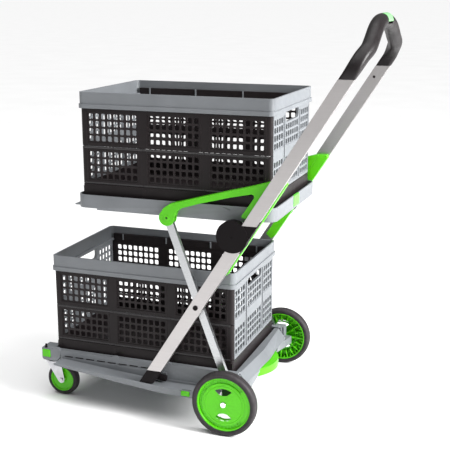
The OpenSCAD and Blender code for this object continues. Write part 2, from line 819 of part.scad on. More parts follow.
// Green arm from the pivot boss to the bar, with a leg that rests on the peg
module deck_arm(s) {
    x_low = bar_x(leg_low) + bracket_x[0] - 0.8;
    x_top = bar_x(arm_top) + bracket_x[0] - 0.8;
    color(green) side(s) difference() {
        union() {
            plate(green_y[0], green_y[1]) polygon([
                from_pivot(-17, 12), from_pivot(-8, 25), from_pivot(11, 38), from_pivot(42, 46),
                from_pivot(92, 60), from_pivot(171, 82), from_pivot(222, 95),
                [x_top - 8, arm_top], [x_top, arm_top - 1], [x_low, leg_low],
                [x_low - 26, leg_low], [x_low - 28, leg_low + 5],
                from_pivot(233, 68), from_pivot(232, 75), from_pivot(226, 77),
                from_pivot(171, 65), from_pivot(92, 44), from_pivot(38, 27),
                from_pivot(25, 15), from_pivot(20, 0)]);
            cross_pin(deck_pivot, green_y[0], green_y[1], boss_r);
        }
        cross_pin(deck_pivot, strut_y - play, strut_y + strut_t + play, boss_r + 2);
        cross_pin(deck_pivot, green_y[0] - 1, green_y[1] - 1.5, rod_r);
        cross_pin(deck_pivot, green_y[1] - 2, green_y[1] + 1, 3);
    }
}

module deck_arm_left() { deck_arm(-1); }
module deck_arm_right() { deck_arm(1); }

module deck_rod() {
    color("silver") placed() cross_pin(deck_pivot, -(green_y[1] - 1.5), green_y[1] - 1.5, rod_r);
}

latch = [[deck_x1 - 6, deck_x1 + 2], 25, [deck_low + 5, deck_top - 1]];
deck_y = green_y[0];

module deck_shell(grow, z0, z1) {
    translate([0, 0, z0]) linear_extrude(z1 - z0)
        rounded(deck_x0 - grow, deck_x1 + grow, deck_y + grow, 28 + grow);
}

module upper_deck() {
    color(grey) placed() difference() {
        union() {
            difference() {
                deck_shell(0, deck_low, deck_top);
                deck_shell(-3.5, deck_low - 1, deck_floor - tray_t);
                deck_shell(-3.5, deck_floor + 5, deck_top + 1);
            }
            for (m = [0, 1]) mirror([0, m, 0]) {
                block(deck_x0 + 60, deck_x1 - 40, deck_y - 3.5, deck_y, deck_low - 4, deck_low);
                cross_pin(deck_pivot, deck_y - 8, deck_y, rod_r + 6);
                plate(deck_y - 7, deck_y) translate([deck_pivot[0] - 11, deck_pivot[1]])
                    square([22, 12]);
            }
            for (x = [deck_x0 + 130, deck_x0 + 400])
                block(x, x + 4, -deck_y + 2, deck_y - 2, deck_low + 4, deck_floor - tray_t);
            translate([deck_x0, 0, deck_low]) rotate([90, 0, 0]) translate([0, 0, -deck_y + 26])
                linear_extrude(2 * deck_y - 52) polygon([[-18, 0], [4, 0], [4, 12], [-1, 10], [-18, 3]]);
        }
        block(deck_shift + inset - tray_gap, deck_shift + crate_len - inset + tray_gap,
            -panel_y - tray_gap, panel_y + tray_gap, deck_floor, deck_top + 1);
        cross_pin(deck_pivot, -deck_y - 1, deck_y + 1, rod_r);
        block(latch[0][0] - 4, latch[0][1] + 1, -latch[1] - play, latch[1] + play,
            latch[2][0] - play, latch[2][1] + play + 1);
    }
}

module deck_latch() {
    color("palegreen") placed() block(latch[0][0] + play, latch[0][1], -latch[1], latch[1],
        latch[2][0], latch[2][1]);
}

// ---------- handle ----------

module handle_bar(s) {
    color(alu) side(s) difference() {
        hollow_bar(sleeve_top - 12, grip_z);
        cross_pin(joint, bar_y - 1, lap_y, joint_r + play);
    }
}

module handle_bar_left() { handle_bar(-1); }
module handle_bar_right() { handle_bar(1); }

mid_y = bar_y + bar_t / 2;
lean = 1 / tan(bar_angle);

// Points of the arch's middle line, from one bar up and over to the other
half_arch = [
    [bar_x(grip_z), mid_y, grip_z],
    [bar_x(grip_z) + 25 * lean, mid_y, grip_z + 25],
    [bar_x(grip_z) + 28, mid_y - 18, grip_z + 49],
    [bar_x(grip_z) + 37, mid_y - 46, grip_z + 66],
    [arch_x, mid_y - 76, grip_z + 81],
    [arch_x, mid_y - 126, grip_z + arch_h - 17],
    [arch_x - 1, mid_y - 176, grip_z + arch_h - 3],
    [arch_x - 1, 0, grip_z + arch_h]
];
n_half = len(half_arch);
arch_pts = [for (i = [0:2 * n_half - 2])
    let(k = i < n_half ? i : 2 * n_half - 2 - i, p = half_arch[k])
        [p[0], i < n_half ? p[1] : -p[1], p[2]]];
arch_n = len(arch_pts);

function spline(p, i, t) =
    let(a = p[max(i - 1, 0)], b = p[i], c = p[i + 1], d = p[min(i + 2, len(p) - 1)])
        0.5 * (2 * b + (c - a) * t + (2 * a - 5 * b + 4 * c - d) * t * t
            + (3 * b - a - 3 * c + d) * t * t * t);
function unit(v) = v / norm(v);
function power(v, e) = sign(v) * pow(abs(v), e);

arch_steps = 4;
ring_n = 28;
arch_path = [for (i = [0:arch_n - 2], j = [0:arch_steps - 1]) spline(arch_pts, i, j / arch_steps)];
path_all = concat(arch_path, [arch_pts[arch_n - 1]]);
path_n = len(path_all);

// Section that goes from the bar's rectangle to an oval within the first stretch
function grip_ring(i) =
    let(
        raw = path_all[min(i + 1, path_n - 1)] - path_all[max(i - 1, 0)],
        t = i == 0 ? unit([lean, 0, 1]) : i == path_n - 1 ? -unit([lean, 0, 1]) : unit(raw),
        e1 = unit([1, 0, 0] - t[0] * t),
        e2 = cross(t, e1),
        w = min(1, min(i, path_n - 1 - i) / (3 * arch_steps)),
        a = (bar_w / 2) * (1 - w) + grip_a * w,
        b = (bar_t / 2) * (1 - w) + grip_b * w,
        e = 0.35 + 0.6 * w,
        edge = min(i, path_n - 1 - i),
        low = grip_z + edge
    )
    [for (k = [0:ring_n - 1])
        let(
            c = power(cos(360 * k / ring_n), e),
            s = power(sin(360 * k / ring_n), e),
            v = path_all[i] + a * c * e1 + b * s * e2
        )
        edge == 0 || v[2] < low ? [v[0] + (low - v[2]) * lean, v[1], low] : v];

module arch_sweep() {
    points = [for (i = [0:path_n - 1]) each grip_ring(i)];
    walls = [for (i = [0:path_n - 2], k = [0:ring_n - 1])
        let(a = i * ring_n + k, b = i * ring_n + (k + 1) % ring_n)
            [a, a + ring_n, b + ring_n, b]];
    first = [for (k = [0:ring_n - 1]) k];
    last = [for (k = [ring_n - 1:-1:0]) (path_n - 1) * ring_n + k];
    polyhedron(points, concat([first, last], walls), convexity = 8);
}

button_x = arch_x + 1;
button_y = 30;
button_low = grip_z + arch_h - 2;

module handle_grip() {
    color(black) placed() difference() {
        arch_sweep();
        block(button_x - play, button_x + 2 * grip_a, -button_y - play, button_y + play,
            button_low - handle_press - play, button_low + 40);
    }
}

// The button rounds off the grip's upper rear edge
module handle_button() {
    color(green) placed() intersection() {
        cross_pin([arch_x - 1, grip_z + arch_h - 0.6], -button_y, button_y, grip_a + 0.6);
        block(button_x, button_x + 2 * grip_a, -button_y, button_y, button_low, button_low + 40);
    }
}

lower_deck();
track_left();
track_right();
rear_axle();
axle_caps();
castor_housing_left();
castor_housing_right();
crate_stops();
wheel_rim_left();
wheel_tyre_left();
wheel_rim_right();
wheel_tyre_right();
castor_fork_left();
castor_rim_left();
castor_tyre_left();
castor_fork_right();
castor_rim_right();
castor_tyre_right();
brake_pedal();
brake_shaft();
corner_button_left();
corner_button_right();
side_button_left();
side_button_right();
strut_left();
strut_right();
deck_rod();
arm_bar_left();
arm_bar_right();
foot_left();
foot_right();
foot_pins();
track_sliders();
joint_lower_left();
joint_lower_right();
joint_upper_left();
joint_upper_right();
bar_bracket_left();
bar_bracket_right();
scissor_bolts();
deck_arm_left();
deck_arm_right();
upper_deck();
deck_latch();
handle_bar_left();
handle_bar_right();
handle_grip();
handle_button();
lower_crate_base();
lower_crate_rim();
lower_crate_lower_sides();
lower_crate_upper_sides();
lower_crate_flap_front();
lower_crate_flap_rear();
upper_crate_base();
upper_crate_rim();
upper_crate_lower_sides();
upper_crate_upper_sides();
upper_crate_flap_front();
upper_crate_flap_rear();
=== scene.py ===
"""A folding two-deck shopping cart: the finish and fine shape of every piece, built on its frame.

All sizes are in metres, in the frame's axes: +X to the push handle, -Y to the left, +Z up.
"""

import json
import math

import bmesh
import bpy
from mathutils import Matrix, Vector

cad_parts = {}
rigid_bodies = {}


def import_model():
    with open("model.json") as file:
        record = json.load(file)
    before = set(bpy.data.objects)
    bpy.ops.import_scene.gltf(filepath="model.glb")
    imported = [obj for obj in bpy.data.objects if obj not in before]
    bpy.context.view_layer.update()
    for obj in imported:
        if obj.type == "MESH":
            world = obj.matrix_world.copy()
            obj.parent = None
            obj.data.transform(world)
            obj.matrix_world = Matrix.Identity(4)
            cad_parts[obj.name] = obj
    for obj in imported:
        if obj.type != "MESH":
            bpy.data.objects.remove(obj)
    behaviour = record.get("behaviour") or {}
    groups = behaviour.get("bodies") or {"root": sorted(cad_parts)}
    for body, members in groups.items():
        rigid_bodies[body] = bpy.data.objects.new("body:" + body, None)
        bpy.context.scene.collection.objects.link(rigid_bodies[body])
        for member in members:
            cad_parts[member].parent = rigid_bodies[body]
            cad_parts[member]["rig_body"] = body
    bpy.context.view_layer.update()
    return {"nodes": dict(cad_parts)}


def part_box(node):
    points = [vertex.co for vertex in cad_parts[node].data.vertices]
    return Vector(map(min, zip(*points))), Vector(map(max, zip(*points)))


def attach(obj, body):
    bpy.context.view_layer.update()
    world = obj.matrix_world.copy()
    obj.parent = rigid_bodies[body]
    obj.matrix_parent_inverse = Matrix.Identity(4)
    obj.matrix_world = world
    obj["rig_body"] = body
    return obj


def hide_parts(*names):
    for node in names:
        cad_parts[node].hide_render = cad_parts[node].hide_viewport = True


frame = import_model()

MM = 0.001
SIDES = (("left", -1), ("right", 1))
BOLT_GREEN = (0.088, 0.50, 0.006)
PALE_GREEN = (0.105, 0.50, 0.05)
SOFT_GREEN = (0.17, 0.42, 0.17)
BOX_GREY = (0.165, 0.175, 0.187)
BLACK = (0.0115, 0.0085, 0.009)


# ---------- materials ----------


def add(tree, kind, inputs=(), **settings):
    """A new node, with its settings, and each input either a value or a linked socket."""
    node = tree.nodes.new(kind)
    for name, value in settings.items():
        setattr(node, name, value)
    for key, value in dict(inputs).items():
        if isinstance(value, bpy.types.NodeSocket):
            tree.links.new(value, node.inputs[key])
        else:
            node.inputs[key].default_value = value
    return node


def start_finish(name, **constants):
    """A material with its constants on the shader's own sockets, and its object coordinates."""
    material = bpy.data.materials.new(name)
    material.use_nodes = True
    tree = material.node_tree
    shader = tree.nodes["Principled BSDF"]
    for socket, value in constants.items():
        shader.inputs[socket.replace("_", " ")].default_value = value
    place = add(tree, "ShaderNodeTexCoord").outputs["Object"]
    return material, tree, shader, place


def shade(color, factor):
    return tuple(min(1.0, c * factor) for c in color) + (1.0,)


def noise(tree, place, scale, detail=2.0, roughness=0.5):
    inputs = {"Vector": place, "Scale": scale, "Detail": detail, "Roughness": roughness}
    return add(tree, "ShaderNodeTexNoise", inputs).outputs["Fac"]


def spread(tree, value, low, high, start=0.3, end=0.7):
    """Maps a noise value, which lies mostly between start and end, to a range."""
    inputs = {"Value": value, "From Min": start, "From Max": end, "To Min": low, "To Max": high}
    return add(tree, "ShaderNodeMapRange", inputs).outputs["Result"]


def blend_colors(tree, factor, one, two):
    mix = add(tree, "ShaderNodeMix", data_type="RGBA", inputs={0: factor})
    for key, value in ((6, one), (7, two)):
        if isinstance(value, bpy.types.NodeSocket):
            tree.links.new(value, mix.inputs[key])
        else:
            mix.inputs[key].default_value = value
    return mix.outputs[2]


def bump(tree, shader, height, strength, distance):
    inputs = {"Height": height, "Strength": strength, "Distance": distance}
    node = add(tree, "ShaderNodeBump", inputs)
    tree.links.new(node.outputs["Normal"], shader.inputs["Normal"])


def moulded_plastic(name, color, gloss=(0.36, 0.50), shine=0.5, grain=1500, depth=0.00006,
                    edge_highlight=1.35):
    """Injection-moulded plastic: a fine spark-eroded grain, faint flow shading, and paler convex edges
    that are a painted highlight.
    """
    material, tree, shader, place = start_finish(name, IOR=1.49, Specular_IOR_Level=shine)
    flow = spread(tree, noise(tree, place, 11, 3), 0, 1)
    body = blend_colors(tree, flow, shade(color, 0.92), shade(color, 1.07))
    # Convex edges, found by pointiness and broken into patches by noise, are mixed towards a paler
    # colour: a painted highlight along the edges.
    edges = add(tree, "ShaderNodeNewGeometry").outputs["Pointiness"]
    edge_highlight_mask = spread(tree, edges, 0, 1, 0.53, 0.62)
    patchy_edge_highlight = add(tree, "ShaderNodeMath", {0: edge_highlight_mask, 1: noise(tree, place, 140, 4)},
                 operation="MULTIPLY").outputs[0]
    tree.links.new(blend_colors(tree, patchy_edge_highlight, body, shade(color, edge_highlight)), shader.inputs["Base Color"])
    handled = spread(tree, noise(tree, place, 34, 4, 0.6), *gloss)
    tree.links.new(handled, shader.inputs["Roughness"])
    bump(tree, shader, noise(tree, place, grain, 2), 0.5, depth)
    return material


def drawn_aluminium(name, color, lean, roughness=(0.30, 0.42)):
    """Satin anodised bar stock: fine draw lines along a direction that leans back by an angle."""
    material, tree, shader, place = start_finish(name, Metallic=1.0, Anisotropic=0.35)
    inputs = {"Vector": place, "Rotation": (0, lean, 0), "Scale": (4, 900, 900)}
    lines = add(tree, "ShaderNodeMapping", inputs).outputs["Vector"]
    streak = noise(tree, lines, 1.0, 3, 0.6)
    cloud = spread(tree, noise(tree, place, 5, 2), 0, 1)
    body = blend_colors(tree, cloud, shade(color, 0.96), shade(color, 1.03))
    tree.links.new(blend_colors(tree, spread(tree, streak, 0, 0.35), body, shade(color, 0.86)),
                   shader.inputs["Base Color"])
    tree.links.new(spread(tree, streak, *roughness), shader.inputs["Roughness"])
    bump(tree, shader, streak, 0.25, 0.00003)
    return material


def zinc_steel(name, color, roughness=(0.22, 0.42)):
    """Zinc-plated sheet and pins: small crystals and a faint change of tone."""
    material, tree, shader, place = start_finish(name, Metallic=1.0)
    crystals = add(tree, "ShaderNodeTexVoronoi", {"Vector": place, "Scale": 420.0})
    spangle = crystals.outputs["Distance"]
    tone = blend_colors(tree, spread(tree, noise(tree, place, 60, 3), 0, 1),
                        shade(color, 0.85), shade(color, 1.05))
    tree.links.new(tone, shader.inputs["Base Color"])
    tree.links.new(spread(tree, spangle, *roughness, 0.0, 0.8), shader.inputs["Roughness"])
    bump(tree, shader, spangle, 0.12, 0.00005)
    return material


def tyre_rubber(name, color):
    """Grey-black rolling rubber: matt, with dust in its pores."""
    material, tree, shader, place = start_finish(name, IOR=1.5, Specular_IOR_Level=0.25)
    dust = spread(tree, noise(tree, place, 80, 5, 0.65), 0, 1, 0.42, 0.72)
    tree.links.new(blend_colors(tree, dust, shade(color, 0.85), shade(color, 1.4)),
                   shader.inputs["Base Color"])
    tree.links.new(spread(tree, noise(tree, place, 300, 3), 0.5, 0.68), shader.inputs["Roughness"])
    bump(tree, shader, noise(tree, place, 900, 3), 0.5, 0.0001)
    return material


def soft_grip(name, color):
    """Soft over-moulded grip: leathery cells under a dull shine."""
    material, tree, shader, place = start_finish(name, IOR=1.5, Specular_IOR_Level=0.28)
    cells = add(tree, "ShaderNodeTexVoronoi", {"Vector": place, "Scale": 700.0},
                feature="DISTANCE_TO_EDGE").outputs["Distance"]
    palms = spread(tree, noise(tree, place, 18, 3), 0, 1)
    tree.links.new(blend_colors(tree, palms, shade(color, 0.9), shade(color, 1.25)),
                   shader.inputs["Base Color"])
    tree.links.new(spread(tree, noise(tree, place, 40, 3), 0.34, 0.48), shader.inputs["Roughness"])
    bump(tree, shader, spread(tree, cells, 0, 1, 0.0, 0.25), 0.3, 0.00012)
    return material


BAR_LEAN = math.radians(57.7)
STRUT_LEAN = math.radians(110.5)
green_plastic = moulded_plastic("green_plastic", BOLT_GREEN, (0.28, 0.40), 0.3, edge_highlight=1.2)
pale_green_plastic = moulded_plastic("pale_green_plastic", PALE_GREEN, (0.35, 0.45), edge_highlight=1.1)
soft_green_plastic = moulded_plastic("soft_green_plastic", SOFT_GREEN, (0.30, 0.42), edge_highlight=1.1)
grey_plastic = moulded_plastic("grey_plastic", BOX_GREY, (0.40, 0.52), edge_highlight=1.25)
black_plastic = moulded_plastic("black_plastic", BLACK, (0.36, 0.50), shine=0.2, edge_highlight=2.2)
# A paler black for the hinge knuckles: a painted highlight along the hinge lines.
worn_black = moulded_plastic("worn_black", (0.030, 0.028, 0.029), (0.32, 0.45), shine=0.3, edge_highlight=1.6)
deep_black = moulded_plastic("deep_black", (0.006, 0.0045, 0.005), (0.42, 0.55), shine=0.1, edge_highlight=2.5)
bar_aluminium = drawn_aluminium("bar_aluminium", (0.47, 0.45, 0.447), BAR_LEAN)
strut_aluminium = drawn_aluminium("strut_aluminium", (0.46, 0.47, 0.48), STRUT_LEAN, (0.24, 0.36))
plated_steel = zinc_steel("plated_steel", (0.50, 0.50, 0.52))
bright_cap = zinc_steel("bright_cap", (0.95, 0.95, 0.94), (0.12, 0.22))
wheel_rubber = tyre_rubber("wheel_rubber", (0.032, 0.028, 0.030))
grip_rubber = soft_grip("grip_rubber", (0.0085, 0.0065, 0.007))


# ---------- mesh tools ----------


def mesh_of(bm, name="work"):
    mesh = bpy.data.meshes.new(name)
    bm.to_mesh(mesh)
    bm.free()
    return mesh


def evaluated(obj):
    """The object's mesh with its modifiers applied; the object itself is removed."""
    bpy.context.view_layer.update()
    graph = bpy.context.evaluated_depsgraph_get()
    mesh = bpy.data.meshes.new_from_object(obj.evaluated_get(graph), depsgraph=graph)
    bpy.data.objects.remove(obj)
    return mesh


def as_object(mesh, name="work"):
    obj = bpy.data.objects.new(name, mesh)
    bpy.context.scene.collection.objects.link(obj)
    return obj


def joined(*meshes):
    """One mesh from several; each stays its own closed shell."""
    bm = bmesh.new()
    for mesh in meshes:
        bm.from_mesh(mesh)
    return mesh_of(bm)


def moved(mesh, x=0.0, y=0.0, z=0.0):
    copy = mesh.copy()
    copy.transform(Matrix.Translation((x, y, z)))
    return copy


def turned(mesh, angle, axis):
    copy = mesh.copy()
    copy.transform(Matrix.Rotation(angle, 4, axis))
    return copy


def mirrored(mesh, axis, at=0.0):
    """A mirror image across the plane through at, with its faces still outwards."""
    copy = mesh.copy()
    scale = [1.0, 1.0, 1.0]
    scale[axis] = -1.0
    copy.transform(Matrix.Diagonal((*scale, 1.0)))
    offset = [0.0, 0.0, 0.0]
    offset[axis] = 2 * at
    copy.transform(Matrix.Translation(offset))
    copy.flip_normals()
    return copy


def both_sides(mesh):
    return joined(mesh, mirrored(mesh, 1))


def box_mesh(x0, x1, y0, y1, z0, z1):
    bm = bmesh.new()
    bmesh.ops.create_cube(bm, size=1.0)
    bmesh.ops.scale(bm, vec=(x1 - x0, y1 - y0, z1 - z0), verts=bm.verts)
    bmesh.ops.translate(bm, vec=((x0 + x1) / 2, (y0 + y1) / 2, (z0 + z1) / 2), verts=bm.verts)
    return mesh_of(bm)


def prism(outline, low, high, axis="Z"):
    """A plate from a flat outline. Axis Z takes (x, y) points, Y takes (x, z), X takes (y, z)."""
    bm = bmesh.new()
    bottom = [bm.verts.new((u, v, low)) for u, v in outline]
    top = [bm.verts.new((u, v, high)) for u, v in outline]
    bm.faces.new(bottom[::-1])
    bm.faces.new(top)
    count = len(outline)
    for i in range(count):
        j = (i + 1) % count
        bm.faces.new((bottom[i], bottom[j], top[j], top[i]))
    bmesh.ops.recalc_face_normals(bm, faces=bm.faces)
    mesh = mesh_of(bm)
    if axis == "Y":
        mesh.transform(Matrix(((1, 0, 0, 0), (0, 0, 1, 0), (0, 1, 0, 0), (0, 0, 0, 1))))
        mesh.flip_normals()
    if axis == "X":
        mesh.transform(Matrix(((0, 0, 1, 0), (1, 0, 0, 0), (0, 1, 0, 0), (0, 0, 0, 1))))
    return mesh


def round_rect(x0, x1, y0, y1, radius, steps=5):
    """Outline of a rectangle with rounded corners."""
    corners = ((x1 - radius, y1 - radius, 0), (x0 + radius, y1 - radius, 90),
               (x0 + radius, y0 + radius, 180), (x1 - radius, y0 + radius, 270))
    points = []
    for cx, cy, start in corners:
        for k in range(steps + 1):
            a = math.radians(start + 90 * k / steps)
            points.append((cx + radius * math.cos(a), cy + radius * math.sin(a)))
    return points


def lathe(profile, segments=72, closed=True, sweep=360.0, start=0.0):
    """Turns (radius, along) points about Y. A closed profile makes a ring, an open one a solid."""
    bm = bmesh.new()
    full = sweep >= 360
    steps = segments if full else segments + 1
    rings = []
    for k in range(steps):
        a = math.radians(start + sweep * k / segments)
        rings.append([bm.verts.new((r * math.cos(a), y, r * math.sin(a))) for r, y in profile])
    count = len(profile)
    for k in range(segments):
        here, there = rings[k], rings[(k + 1) % steps]
        for i in range(count if closed else count - 1):
            j = (i + 1) % count
            bm.faces.new((here[i], here[j], there[j], there[i]))
    if not full:
        bm.faces.new(rings[0])
        bm.faces.new(rings[-1][::-1])
    bmesh.ops.remove_doubles(bm, verts=bm.verts, dist=1e-6)
    bmesh.ops.recalc_face_normals(bm, faces=bm.faces)
    return mesh_of(bm)


def cut(mesh, *cutters, operation="DIFFERENCE"):
    """The mesh less the cutters, which are closed and overlap each other nowhere."""
    body, tool = as_object(mesh), as_object(joined(*cutters))
    modifier = body.modifiers.new("cut", "BOOLEAN")
    modifier.object, modifier.operation, modifier.solver = tool, operation, "EXACT"
    result = evaluated(body)
    bpy.data.objects.remove(tool)
    return result


def bevelled(mesh, width, segments=2, angle=32):
    """Rounds every edge that turns by more than the angle."""
    obj = as_object(mesh)
    modifier = obj.modifiers.new("round", "BEVEL")
    modifier.width, modifier.segments = width, segments
    modifier.limit_method, modifier.angle_limit = "ANGLE", math.radians(angle)
    modifier.miter_outer = "MITER_ARC"
    return evaluated(obj)


def piece(name, mesh, material, body, *replaced, smooth=34):
    """Names a finished mesh, gives it its material, and lets it ride on a body."""
    mesh = mesh.copy()
    mesh.name = name
    mesh.materials.clear()
    mesh.materials.append(material)
    for polygon in mesh.polygons:
        polygon.use_smooth = True
    mesh.set_sharp_from_angle(angle=math.radians(smooth))
    obj = as_object(mesh, name)
    modifier = obj.modifiers.new("flat faces", "WEIGHTED_NORMAL")
    modifier.keep_sharp = True
    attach(obj, body)
    if replaced:
        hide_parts(*replaced)
    return obj


def body_of(node):
    return frame["nodes"][node]["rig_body"]


def cad_copy(node):
    """A copy of a frame node with its loose triangles merged into whole faces."""
    bm = bmesh.new()
    bm.from_mesh(frame["nodes"][node].data)
    bmesh.ops.remove_doubles(bm, verts=bm.verts, dist=2e-6)
    bmesh.ops.dissolve_limit(bm, angle_limit=math.radians(0.3), verts=bm.verts, edges=bm.edges)
    return mesh_of(bm)


def rounded_copy(node, material, width, segments=2, angle=32, corner=0.0):
    """The frame's own shape with moulded or broken edges, and larger corners in the side view."""
    mesh = cad_copy(node)
    if corner:
        mesh = side_corners(mesh, corner)
    mesh = bevelled(mesh, width, segments, angle)
    return piece(node + "_finished", mesh, material, body_of(node), node)


def side_corners(mesh, width):
    """Rounds the sharp edges that run straight across the cart."""
    bm = bmesh.new()
    bm.from_mesh(mesh)
    across = []
    for edge in bm.edges:
        line = edge.verts[1].co - edge.verts[0].co
        straight = abs(line.y) > 0.999 * line.length
        if straight and len(edge.link_faces) == 2 and edge.calc_face_angle() > math.radians(24):
            across.append(edge)
    bmesh.ops.bevel(bm, geom=across, offset=width, segments=5, profile=0.5, affect="EDGES",
                    clamp_overlap=True)
    return mesh_of(bm)


# ---------- repeated shapes ----------


def grow(name, inputs):
    """A geometry tree with named inputs, and its input and output nodes."""
    tree = bpy.data.node_groups.new(name, "GeometryNodeTree")
    tree.interface.new_socket("Geometry", in_out="OUTPUT", socket_type="NodeSocketGeometry")
    for label, kind in inputs.items():
        tree.interface.new_socket(label, in_out="INPUT", socket_type="NodeSocket" + kind)
    return tree, add(tree, "NodeGroupInput").outputs, add(tree, "NodeGroupOutput").inputs[0]


def grown(tree, **values):
    """Runs a geometry tree with these inputs, and returns its mesh."""
    obj = as_object(bpy.data.meshes.new("seed"))
    modifier = obj.modifiers.new(tree.name, "NODES")
    modifier.node_group = tree
    for item in tree.interface.items_tree:
        label = item.name.replace(" ", "_").lower()
        if item.in_out == "INPUT" and label in values:
            modifier[item.identifier] = values[label]
    return evaluated(obj)


def math_node(tree, operation, one, two):
    return add(tree, "ShaderNodeMath", {0: one, 1: two}, operation=operation).outputs[0]


def vector(tree, x=0.0, y=0.0, z=0.0):
    return add(tree, "ShaderNodeCombineXYZ", {0: x, 1: y, 2: z}).outputs[0]


def finish_tree(tree, geometry, material, output):
    real = add(tree, "GeometryNodeRealizeInstances", {0: geometry}).outputs[0]
    last = add(tree, "GeometryNodeSetMaterial", {"Geometry": real, "Material": material})
    tree.links.new(last.outputs[0], output)


def perforated_sheet_tree():
    """Sheets in a row, each with rows and columns of round-cornered holes, upright on XZ."""
    tree, given, output = grow("perforated sheet", {
        "Columns": "Int", "Rows": "Int", "Pitch X": "Float", "Pitch Z": "Float",
        "Hole Width": "Float", "Hole Height": "Float", "Corner": "Float", "Border": "Float",
        "Thickness": "Float", "Sheets": "Int", "Spacing": "Float", "Material": "Material"})
    hole = add(tree, "GeometryNodeCurvePrimitiveQuadrilateral",
               {"Width": given["Hole Width"], "Height": given["Hole Height"]}).outputs[0]
    hole = add(tree, "GeometryNodeFilletCurve",
               {"Curve": hole, "Count": 3, "Radius": given["Corner"]}, mode="POLY").outputs[0]
    last_column = math_node(tree, "SUBTRACT", given["Columns"], 1.0)
    last_row = math_node(tree, "SUBTRACT", given["Rows"], 1.0)
    grid = add(tree, "GeometryNodeMeshGrid", {
        "Size X": math_node(tree, "MULTIPLY", last_column, given["Pitch X"]),
        "Size Y": math_node(tree, "MULTIPLY", last_row, given["Pitch Z"]),
        "Vertices X": given["Columns"], "Vertices Y": given["Rows"]}).outputs[0]
    holes = add(tree, "GeometryNodeInstanceOnPoints", {"Points": grid, "Instance": hole}).outputs[0]
    wide = math_node(tree, "MULTIPLY", given["Columns"], given["Pitch X"])
    high = math_node(tree, "MULTIPLY", given["Rows"], given["Pitch Z"])
    border = add(tree, "GeometryNodeCurvePrimitiveQuadrilateral", {
        "Width": math_node(tree, "ADD", wide, given["Border"]),
        "Height": math_node(tree, "ADD", high, given["Border"])}).outputs[0]
    outline = add(tree, "GeometryNodeJoinGeometry", {0: border})
    tree.links.new(holes, outline.inputs[0])
    real = add(tree, "GeometryNodeRealizeInstances", {0: outline.outputs[0]}).outputs[0]
    face = add(tree, "GeometryNodeFillCurve", {0: real}).outputs[0]
    wall = add(tree, "GeometryNodeExtrudeMesh",
               {"Mesh": face, "Offset Scale": given["Thickness"], "Individual": False}).outputs[0]
    back = add(tree, "GeometryNodeFlipFaces", {"Mesh": face}).outputs[0]
    shell = add(tree, "GeometryNodeJoinGeometry", {0: wall})
    tree.links.new(back, shell.inputs[0])
    whole = add(tree, "GeometryNodeMergeByDistance",
                {"Geometry": shell.outputs[0], "Distance": 0.00002}).outputs[0]
    upright = add(tree, "GeometryNodeTransform",
                  {"Geometry": whole, "Rotation": (math.pi / 2, 0, 0)}).outputs[0]
    row = add(tree, "GeometryNodeMeshLine",
              {"Count": given["Sheets"], "Offset": vector(tree, given["Spacing"])}).outputs[0]
    sheets = add(tree, "GeometryNodeInstanceOnPoints", {"Points": row, "Instance": upright}).outputs[0]
    finish_tree(tree, sheets, given["Material"], output)
    return tree


def spoke_ring_tree():
    """Radial walls at equal angles about Y, from one radius out to another."""
    tree, given, output = grow("spoke ring", {
        "Count": "Int", "Inner": "Float", "Outer": "Float", "Thickness": "Float",
        "Depth": "Float", "Turn": "Float", "Material": "Material"})
    length = math_node(tree, "SUBTRACT", given["Outer"], given["Inner"])
    wall = add(tree, "GeometryNodeMeshCube",
               {"Size": vector(tree, length, given["Thickness"], given["Depth"])}).outputs[0]
    centre = math_node(tree, "ADD", given["Inner"], math_node(tree, "MULTIPLY", length, 0.5))
    wall = add(tree, "GeometryNodeTransform",
               {"Geometry": wall, "Translation": vector(tree, centre)}).outputs[0]
    points = add(tree, "GeometryNodePoints", {"Count": given["Count"]}).outputs[0]
    index = add(tree, "GeometryNodeInputIndex").outputs[0]
    step = math_node(tree, "DIVIDE", 2 * math.pi, given["Count"])
    angle = math_node(tree, "ADD", math_node(tree, "MULTIPLY", index, step), given["Turn"])
    ring = add(tree, "GeometryNodeInstanceOnPoints",
               {"Points": points, "Instance": wall, "Rotation": vector(tree, 0.0, 0.0, angle)})
    flat = add(tree, "GeometryNodeTransform",
               {"Geometry": ring.outputs[0], "Rotation": (math.pi / 2, 0, 0)}).outputs[0]
    finish_tree(tree, flat, given["Material"], output)
    return tree


def knuckle_row_tree():
    """Hinge knuckles in a row along X, with a gap between each two."""
    tree, given, output = grow("knuckle row", {
        "Count": "Int", "Length": "Float", "Gap": "Float", "Radius": "Float",
        "Material": "Material"})
    pin = add(tree, "GeometryNodeMeshCylinder",
              {"Vertices": 14, "Radius": given["Radius"], "Depth": given["Length"]}).outputs[0]
    pin = add(tree, "GeometryNodeTransform",
              {"Geometry": pin, "Rotation": (0, math.pi / 2, 0)}).outputs[0]
    pitch = math_node(tree, "ADD", given["Length"], given["Gap"])
    half = math_node(tree, "MULTIPLY", pitch, 0.5)
    row = add(tree, "GeometryNodeMeshLine",
              {"Count": given["Count"], "Start Location": vector(tree, half),
               "Offset": vector(tree, pitch)}).outputs[0]
    pins = add(tree, "GeometryNodeInstanceOnPoints", {"Points": row, "Instance": pin}).outputs[0]
    finish_tree(tree, pins, given["Material"], output)
    return tree


perforated_sheet = perforated_sheet_tree()
spoke_ring = spoke_ring_tree()
knuckle_row = knuckle_row_tree()


# ---------- crates ----------
# A crate is built once with its front lower edge at x = z = 0, and placed on each platform.

